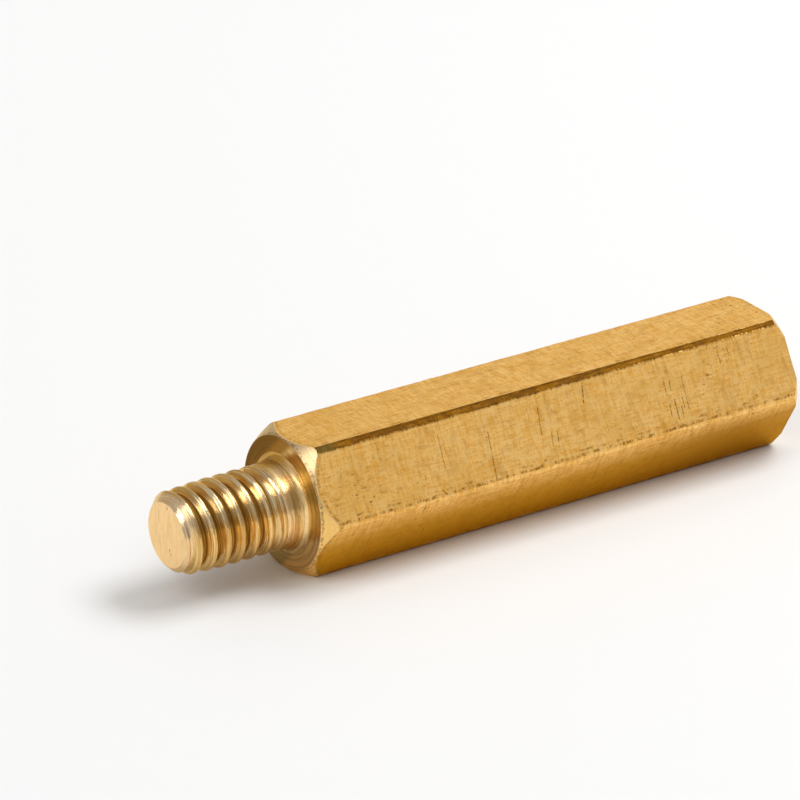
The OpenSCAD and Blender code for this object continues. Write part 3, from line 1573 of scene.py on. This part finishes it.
    def _shoulder_tone(self, s: Coating, rings: Socket, height: Socket) -> Socket:
        """Works out the shoulder's tone, with painted light, and painted shade that darkens it towards
        its upper part.

        Args:
            s: The material's sketch.
            rings: Mask of the turning marks.
            height: Y + Z of the shaded point, in millimetres.

        Returns:
            The tone.
        """
        # Painted light, shade and floor light on the shoulder, graded by height
        tones = (self.shoulder_painted_light, self.shoulder_painted_shade, self.shoulder_painted_dark_shade, self.shoulder_painted_foot_light)
        tone = s.shades(height, self.shoulder, *zip(self.shoulder_heights, tones))
        return s.layers(tone, (rings, 0.40, self.shoulder_line))


@dataclass(frozen=True)
class CutFinish:
    """Bright thread and neck: crests with painted highlights, deeper-toned roots, painted light on the
    neck, streaks along the helix.
    """

    stud: Stud
    crest: Colour = (0.94, 0.58, 0.19)
    # Painted highlight tone of the crests where they face the light
    crest_highlight_tone: Colour = (1.0, 0.76, 0.48)
    # Painted highlight line along each crest
    crest_line_highlight: Colour = (1.0, 0.68, 0.28)
    flank: Colour = (1.0, 0.71, 0.30)
    # Painted highlight tone of the flanks where they face the light
    flank_highlight_tone: Colour = (1.0, 0.85, 0.54)
    root: Colour = (0.22, 0.085, 0.003)
    root_light: Colour = (0.56, 0.27, 0.035)
    # Painted shade in the roots where the thread faces the light
    root_painted_shade: Colour = (0.035, 0.017, 0.001)
    # Painted reflection on the upper flanks
    flank_painted_reflection: Colour = (0.88, 0.47, 0.10)
    neck: Colour = (0.98, 0.66, 0.32)
    # Painted light on the neck towards the shoulder
    neck_end_painted_light: Colour = (1.0, 0.72, 0.34)
    neck_light: Colour = (1.00, 0.74, 0.38)
    # Painted reflection at the neck's top
    neck_painted_reflection: Colour = (0.62, 0.34, 0.06)
    line: Colour = (0.40, 0.19, 0.03)
    # Lines per mm along and across the bar and seed of the grain, and where it fades in
    grain: Numbers = (8.0, 3.0, 90.0, 0.36, 0.64)
    # Length, patch size and cover of the specks
    specks: Numbers = (0.08, 1.0, 0.8)
    # Streaks per pitch, broad and fine, and the levels where they fade in
    streaks: Numbers = (7.0, 12.0)
    streak_levels: Span = (0.44, 0.56)
    # Axial places on the tip's chamfer: roots and streaks start there, and crests take its tone
    root_start: Span = (-5.5, -5.3)
    streak_start: Span = (-5.55, -5.4)
    chamfer_start: Span = (-5.4, -5.5)
    # Heights from root to crest, as shares of the thread's depth: roots end, crests start
    root_end: Span = (0.30, 0.12)
    crest_start: Span = (0.62, 0.78)
    # The painted highlight line along each crest: how far below it, and how soft
    edge_below: Span = (0.10, 0.025)
    edge_soft: float = 0.02
    # How far the neck's finish reaches past its end, and how softly it starts
    neck_length: float = 0.6
    neck_soft: float = 0.12
    # A painted dark reflection at the neck's end, on the fillet: axial places and softness, and the
    # heights where it fades
    fillet_dark_line: Numbers = (-0.185, -0.15, 0.02)
    fillet_dark_heights: Span = (0.9, 0.5)
    # Y + Z where the neck is painted lighter, and where neck and flanks take a deeper gold as a painted
    # reflection
    neck_lit: Span = (0.3, 0.9)
    neck_reflection_heights: Span = (1.1, 2.1)
    flank_reflection_heights: Span = (0.6, 1.6)
    # Y and Z of the way that faces the light, and how squarely a surface must face it to take the
    # painted highlight, broadly and at its core
    lit_way: Point = (-0.59, 0.81)
    bright_facing: Span = (0.72, 0.90)
    highlight_core_facing: Span = (0.84, 0.95)
    # Share of the streaks on the tip's chamfer, and of its painted highlight
    tip_streaks: float = 0.3
    tip_shine: float = 0.6
    roughness: float = 0.15
    streak_roughness: float = 0.08
    root_roughness: float = 0.45
    neck_roughness: float = 0.22
    root_metal: float = 0.4
    neck_metal: float = 0.6
    mark_depth: float = 0.000004

    def material(self, effects: Effects) -> bpy.types.Material:
        """Lays out the finish.

        Args:
            effects: The shared node groups.

        Returns:
            The material.
        """
        s = Coating("brass_cut", effects)
        x, y, z = s.axes_mm()
        helix = (self.stud.pitch, self.stud.crest_place)
        broad, fine = (
            s.mask(effects.streaks, (*helix, count, *self.streak_levels)) for count in self.streaks
        )
        in_root = s.times(self._fade_over_root(s, self.root_end), s.ramp(x, *self.root_start))
        neck_start = self.stud.neck_place - self.neck_length
        on_neck = s.band(x, neck_start, 0.0, self.neck_soft)
        lit = s.ramp(s.plus(y, z), *self.neck_lit)
        # Painted light on the neck, paler towards the shoulder and higher up, and a painted reflection
        # at its top
        neck = s.shades(x, self.neck, ((neck_start, self.stud.neck_place), self.neck_end_painted_light))
        neck = s.blend(lit, neck, self.neck_light)
        neck = s.shades(s.plus(y, z), neck, (self.neck_reflection_heights, self.neck_painted_reflection))
        # Painted reflection: a dark line round the fillet, fading higher up
        fillet_dark_line = s.times(s.band(x, *self.fillet_dark_line), s.ramp(z, *self.fillet_dark_heights))
        neck = s.layers(neck, (fillet_dark_line, 0.45, self.line), (broad, 0.48, self.line))
        tone = s.layers(
            s.blend(in_root, *self._thread_tones(s, broad, fine)),
            (on_neck, 1.0, neck),
            (s.lines(self.grain), 0.15, self.line),
            (s.mask(effects.specks, self.specks), 0.4, self.line),
        )
        rough = s.linear(broad, self.streak_roughness, self.roughness)
        rough = s.linear(in_root, self.root_roughness - self.roughness, rough)
        rough = s.linear(on_neck, self.neck_roughness - self.roughness, rough)
        metal = s.linear(in_root, self.root_metal - 1.0, 1.0)
        metal = s.linear(s.times(on_neck, lit), self.neck_metal - 1.0, metal)
        return s.finish(tone, rough, s.plus(broad, fine), self.mark_depth, metal)

    def _fade_over_root(self, s: Coating, shares: Span) -> Socket:
        """Fades over heights above the root, given as shares of the thread's depth."""
        low, high = (self.stud.root_radius + share * self.stud.thread_depth for share in shares)
        return s.ramp(s.radius_mm(), low, high)

    def _thread_tones(self, s: Coating, broad: Socket, fine: Socket) -> tuple[Socket, Socket]:
        """Works out the tones of the thread, with painted highlights where it faces the light.

        Args:
            s: The material's sketch.
            broad: Mask of the broad streaks.
            fine: Mask of the fine streaks.

        Returns:
            The tone of the flanks and crests, and the tone of the roots.
        """
        x, y, z = s.axes_mm()
        way_y, way_z = self.lit_way
        facing = s.math("DIVIDE", s.linear(z, way_z, s.times(y, way_y)), s.radius_mm())
        # Painted highlight: crests, flanks and the tip's chamfer are painted paler where they face the
        # light
        bright = s.ramp(facing, *self.bright_facing)
        highlight_core = s.ramp(facing, *self.highlight_core_facing)
        # Painted reflection: the upper flanks take a deeper gold
        reflected_gold = s.ramp(s.plus(y, z), *self.flank_reflection_heights)
        flank = s.blend(highlight_core, self.flank, self.flank_highlight_tone)
        flank = s.layers(flank, (reflected_gold, 0.85, self.flank_painted_reflection))
        on_chamfer = s.ramp(x, *self.chamfer_start)
        on_crest = s.math("MAXIMUM", self._fade_over_root(s, self.crest_start), on_chamfer)
        shine = s.math("MAXIMUM", bright, s.times(on_chamfer, self.tip_shine))
        low, high = (self.stud.crest_radius - below for below in self.edge_below)
        edge = s.band(s.radius_mm(), low, high, self.edge_soft)
        worked = s.linear(s.ramp(x, *self.streak_start), 1.0 - self.tip_streaks, self.tip_streaks)
        tone = s.layers(
            s.blend(on_crest, flank, s.blend(shine, self.crest, self.crest_highlight_tone)),
            # A painted highlight line along each crest
            (edge, 0.80, s.blend(highlight_core, self.crest_line_highlight, self.flank_highlight_tone)),
            (s.times(broad, worked), 0.37, self.line),
            (s.times(fine, worked), 0.40, self.line),
        )
        root = s.blend(fine, self.root, self.root_light)
        # Painted shade: the roots darken where the thread faces the light
        return tone, s.layers(root, (bright, 0.50, self.root_painted_shade))


@dataclass
class Standoff:
    """The whole standoff: one solid of brass, welded from the bar and its stud."""

    bar: TurnedBar
    stud: Stud
    # Faces that meet at more than this angle keep a sharp edge, in degrees
    smooth_angle: float = 35.0
    # Greatest X of a long flat's normal
    flat_tilt: float = 0.2

    @classmethod
    def from_frame(cls) -> "Standoff":
        """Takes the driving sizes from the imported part.

        Returns:
            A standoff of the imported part's sizes.
        """
        low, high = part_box(NODE)
        stud = mount_named("stud")["dims"]
        hole = mount_named("tapped_hole")
        far_end = mount_named("tapped_end_face")["pos_m"][0] / METRES_PER_MM
        hole_middle = hole["pos_m"][0] / METRES_PER_MM
        drill_depth = far_end - hole_middle + hole["dims"]["length_mm"] / 2 + BORE_PAST_MOUNT
        outside = {"across_flats": (high.z - low.z) / METRES_PER_MM, "length": far_end}
        drilling = {"drill_radius": hole["dims"]["r_mm"], "drill_depth": drill_depth}
        bar = TurnedBar(**outside, stud_radius=stud["r_mm"], **drilling)
        length = -low.x / METRES_PER_MM
        return cls(bar, Stud(crest_radius=stud["r_mm"], length=length, neck_place=bar.neck_place))

    def build(self) -> Piece:
        """Models the standoff.

        Returns:
            The closed piece, in millimetres.
        """
        bar = self.bar.build()
        LOG.info("bar: %d faces", len(bar.data.polygons))
        stud = self.stud.build()
        LOG.info("stud: %d faces", len(stud.data.polygons))
        Bench.take(bar)
        stud.select_set(True)
        bpy.ops.object.join()
        Bench.weld(bar)
        bar.name = PIECE
        bar.data.name = PIECE
        LOG.info("standoff: %d faces, %d open edges", len(bar.data.polygons), Bench.open_edges(bar))
        return bar

    def dress(self, piece: Piece, effects: Effects) -> None:
        """Gives every face its finish, smooths the piece and brings it to metres.

        Args:
            piece: The standoff in millimetres.
            effects: The shared node groups.
        """
        finishes = {
            Finish.DRAWN: DrawnFinish(self.bar),
            Finish.FACED: FacedFinish(-self.stud.length),
            Finish.CUT: CutFinish(self.stud),
        }
        piece.data.materials.clear()
        for finish in Finish:
            piece.data.materials.append(finishes[finish].material(effects))
        for face in piece.data.polygons:
            face.material_index = self._finish_of(face).value
        Bench.take(piece)
        bpy.ops.object.shade_smooth_by_angle(angle=math.radians(self.smooth_angle))
        Bench.modify(piece, "WEIGHTED_NORMAL", keep_sharp=True, weight=100)
        piece.data.transform(Matrix.Scale(METRES_PER_MM, 4))

    def _finish_of(self, face: bpy.types.MeshPolygon) -> Finish:
        """Tells which finish a face has.

        Args:
            face: One face of the standoff, in millimetres.

        Returns:
            Its finish.
        """
        radius = math.hypot(face.center.y, face.center.z)
        if face.center.x < -WELD:
            return Finish.FACED if face.center.x < WELD - self.stud.length else Finish.CUT
        if abs(face.normal.x) < self.flat_tilt and radius > self.bar.shoulder_radius:
            return Finish.DRAWN
        if radius < self.bar.countersink_radius and face.center.x > self.bar.fillet_radius:
            return Finish.CUT
        return Finish.FACED


@dataclass(frozen=True)
class Studio:
    """Pale floor, one softbox, a softly lit room and the camera.

    The floor's and the camera's places are in millimetres. The floor's side, the softbox's
    distance and sides, and the camera's clipping are in metres.
    """

    floor_place: float
    floor_side: float = 2.4
    floor_tone: Colour = (0.845, 0.845, 0.84)
    floor_roughness: float = 0.7
    softbox_from: Numbers = (0.535, -0.145, 0.833)
    softbox_distance: float = 0.45
    softbox_sides: Point = (0.30, 0.18)
    softbox_power: float = 1.295
    room_tone: float = 0.49
    # Direction, inner and outer angle in degrees, and tone of each screen in the room
    screens: tuple[Numbers, ...] = (
        (0.515, -0.78, 0.35, 18.0, 38.0, 0.34),
        (0.45, 0.80, 0.35, 15.0, 45.0, 0.67),
    )
    # Oval glow above the stud's end: X and Y of its middle direction, half its width each way,
    # the shares of that width where it ends and is full, the Z from which it shows, and its level
    glow_middle: Numbers = (-0.68, -0.08, 0.0)
    glow_reach: Point = (0.26, 0.24)
    glow_edge: Span = (1.2, 0.8)
    glow_foot: Span = (0.1, 0.3)
    glow_level: float = 3.14
    camera_place: Numbers = (-142.623, -216.554, 123.165)
    camera_azimuth: float = -34.465
    camera_elevation: float = 24.537
    camera_roll: float = 0.366
    camera_lens: float = 305.0
    camera_sensor: float = 36.0
    camera_clip: Span = (0.01, 10.0)

    def build(self) -> None:
        """Sets up the whole studio."""
        self._floor()
        self._softbox()
        self._room()
        self._camera()
        bpy.context.scene.view_settings.view_transform = "Standard"

    def _floor(self) -> None:
        """Lays the floor that the standoff rests on."""
        bpy.ops.object.select_all(action="DESELECT")
        height = self.floor_place * METRES_PER_MM
        bpy.ops.mesh.primitive_plane_add(size=self.floor_side, location=(0, 0, height))
        floor = bpy.context.object
        floor.name = "floor"
        made = bpy.data.materials.new("pale_floor")
        made.use_nodes = True
        s = NodeSketch(made.node_tree)
        shader = s.node("BsdfPrincipled", Roughness=self.floor_roughness, Base_Color=self.floor_tone)
        s.node("OutputMaterial", Surface=shader.outputs[0])
        floor.data.materials.append(made)

    def _softbox(self) -> None:
        """Hangs the softbox, facing the standoff."""
        toward = Vector(self.softbox_from).normalized()
        bpy.ops.object.light_add(type="AREA", location=toward * self.softbox_distance)
        box = bpy.context.object
        box.name = "softbox"
        box.rotation_euler = toward.to_track_quat("Z", "Y").to_euler()
        box.data.shape = "RECTANGLE"
        box.data.size, box.data.size_y = self.softbox_sides
        box.data.energy = self.softbox_power

    def _room(self) -> None:
        """Lights the room evenly, with a dark and a light screen and a glow above the stud's end."""
        world = bpy.data.worlds.new("room")
        bpy.context.scene.world = world
        world.use_nodes = True
        s = NodeSketch(world.node_tree)
        way = s.vector("NORMALIZE", s.node("TexCoord").outputs["Generated"])
        tone: object = (self.room_tone,) * 3
        for x, y, z, inner, outer, level in self.screens:
            nearness = s.measured("DOT_PRODUCT", way, tuple(Vector((x, y, z)).normalized()))
            span = (math.cos(math.radians(outer)), math.cos(math.radians(inner)))
            tone = s.shades(nearness, tone, (span, (level,) * 3))
        widen = (1 / self.glow_reach[0], 1 / self.glow_reach[1], 0.0)
        offset = s.vector("MULTIPLY", s.vector("SUBTRACT", way, self.glow_middle), widen)
        inside = s.ramp(s.measured("LENGTH", offset), *self.glow_edge)
        above = s.ramp(s.node("SeparateXYZ", Vector=way).outputs["Z"], *self.glow_foot)
        tone = s.blend(s.times(inside, above), tone, (self.glow_level,) * 3)
        light = s.node("Background", Color=tone, Strength=1.0)
        s.node("OutputWorld", Surface=light.outputs[0])

    def _camera(self) -> None:
        """Places the camera."""
        place = Vector(self.camera_place) * METRES_PER_MM
        bpy.ops.object.camera_add(location=place)
        camera = bpy.context.object
        camera.name = "camera"
        turn = Matrix.Rotation(math.radians(self.camera_azimuth), 4, "Z")
        tilt = Matrix.Rotation(math.radians(90 - self.camera_elevation), 4, "X")
        roll = Matrix.Rotation(math.radians(self.camera_roll), 4, "Z")
        camera.matrix_world = Matrix.Translation(place) @ turn @ tilt @ roll
        camera.data.lens = self.camera_lens
        camera.data.sensor_width = self.camera_sensor
        camera.data.clip_start, camera.data.clip_end = self.camera_clip
        bpy.context.scene.camera = camera


def main() -> None:
    """Builds the standoff and the studio round it."""
    logging.basicConfig(level=logging.INFO, format="%(name)s: %(message)s")
    standoff = Standoff.from_frame()
    piece = standoff.build()
    standoff.dress(piece, Effects())
    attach(piece, BODY)
    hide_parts(NODE)
    low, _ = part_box(NODE)
    Studio(floor_place=low.z / METRES_PER_MM).build()


if __name__ == "__main__":
    main()
